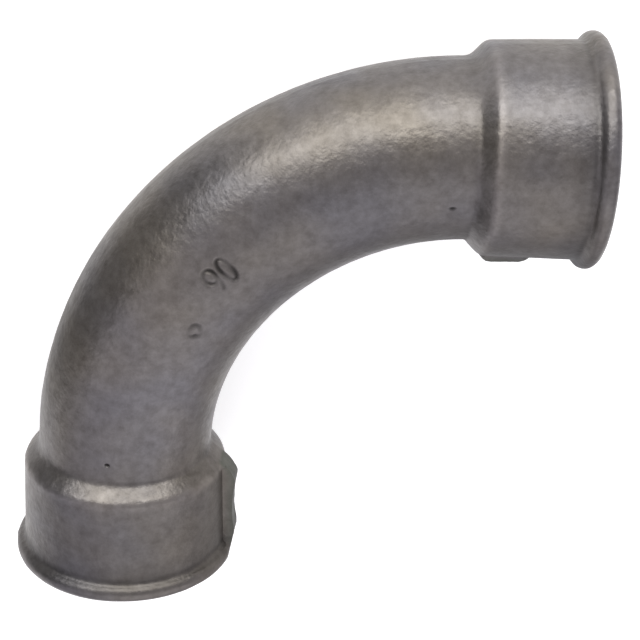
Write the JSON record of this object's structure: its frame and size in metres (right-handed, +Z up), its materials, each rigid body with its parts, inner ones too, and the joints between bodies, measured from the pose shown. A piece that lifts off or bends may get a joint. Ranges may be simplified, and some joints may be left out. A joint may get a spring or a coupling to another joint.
{
  "type": "pipe bend",
  "caption": "Long sweep pipe bend in black malleable iron that turns a pipe run through a right angle, with a beaded female socket tapped for pipe thread at each mouth.",
  "frame": {"origin": "middle of the part's box, on the ground that it lies on", "axes": "+Z up as the bend lies at rest on its two beads and the back of its elbow; the sockets open towards -Y and +X, each tilted up by about 6 degrees"},
  "size_m": [0.134, 0.134, 0.0526],
  "materials": {
    "casting": "shot-blasted black malleable iron, as cast"
  },
  "bodies": {
    "root": {"pipe_bend": "casting"}
  },
  "joints": []
}
